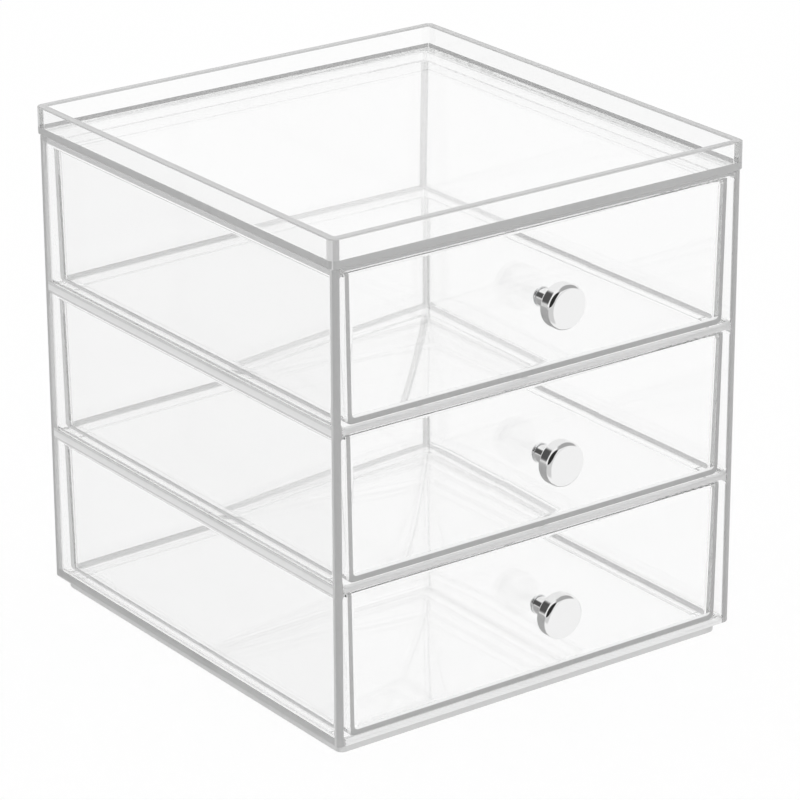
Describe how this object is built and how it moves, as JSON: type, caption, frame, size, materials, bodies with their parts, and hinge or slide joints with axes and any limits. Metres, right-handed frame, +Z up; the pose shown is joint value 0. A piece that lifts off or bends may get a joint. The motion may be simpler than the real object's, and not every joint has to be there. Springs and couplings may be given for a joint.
{
  "type": "desktop drawer organiser",
  "caption": "Clear plastic desktop cube with stacked pull-out drawers, round chrome knobs and a shallow tray top, for cosmetics and jewellery.",
  "frame": {"origin": "on the table, below the middle of the whole footprint with the knobs", "axes": "+Z up, drawers open towards -Y, +X to the right as seen by someone facing the drawers"},
  "size_m": [0.167, 0.1862, 0.178],
  "materials": {
    "clear_case": "polished clear",
    "clear_drawer": "polished clear",
    "chrome_knob": "mirror polished",
    "knob_washer": "polished",
    "steel_screw": "satin"
  },
  "bodies": {
    "case": {"case_shell": "clear_case", "base_foot": "clear_case", "top_tray": "clear_case"},
    "bottom_drawer_unit": {"bottom_drawer": "clear_drawer", "bottom_knob": "chrome_knob", "bottom_knob_washer": "knob_washer", "bottom_knob_screw": "steel_screw"},
    "middle_drawer_unit": {"middle_drawer": "clear_drawer", "middle_knob": "chrome_knob", "middle_knob_washer": "knob_washer", "middle_knob_screw": "steel_screw"},
    "top_drawer_unit": {"top_drawer": "clear_drawer", "top_knob": "chrome_knob", "top_knob_washer": "knob_washer", "top_knob_screw": "steel_screw"}
  },
  "joints": [
    {"name": "bottom_drawer_slide", "type": "slide", "parent": "case", "child": "bottom_drawer_unit", "axis": [0, -1, 0], "range_m": [0, 0.13]},
    {"name": "middle_drawer_slide", "type": "slide", "parent": "case", "child": "middle_drawer_unit", "axis": [0, -1, 0], "range_m": [0, 0.13]},
    {"name": "top_drawer_slide", "type": "slide", "parent": "case", "child": "top_drawer_unit", "axis": [0, -1, 0], "range_m": [0, 0.13]}
  ]
}
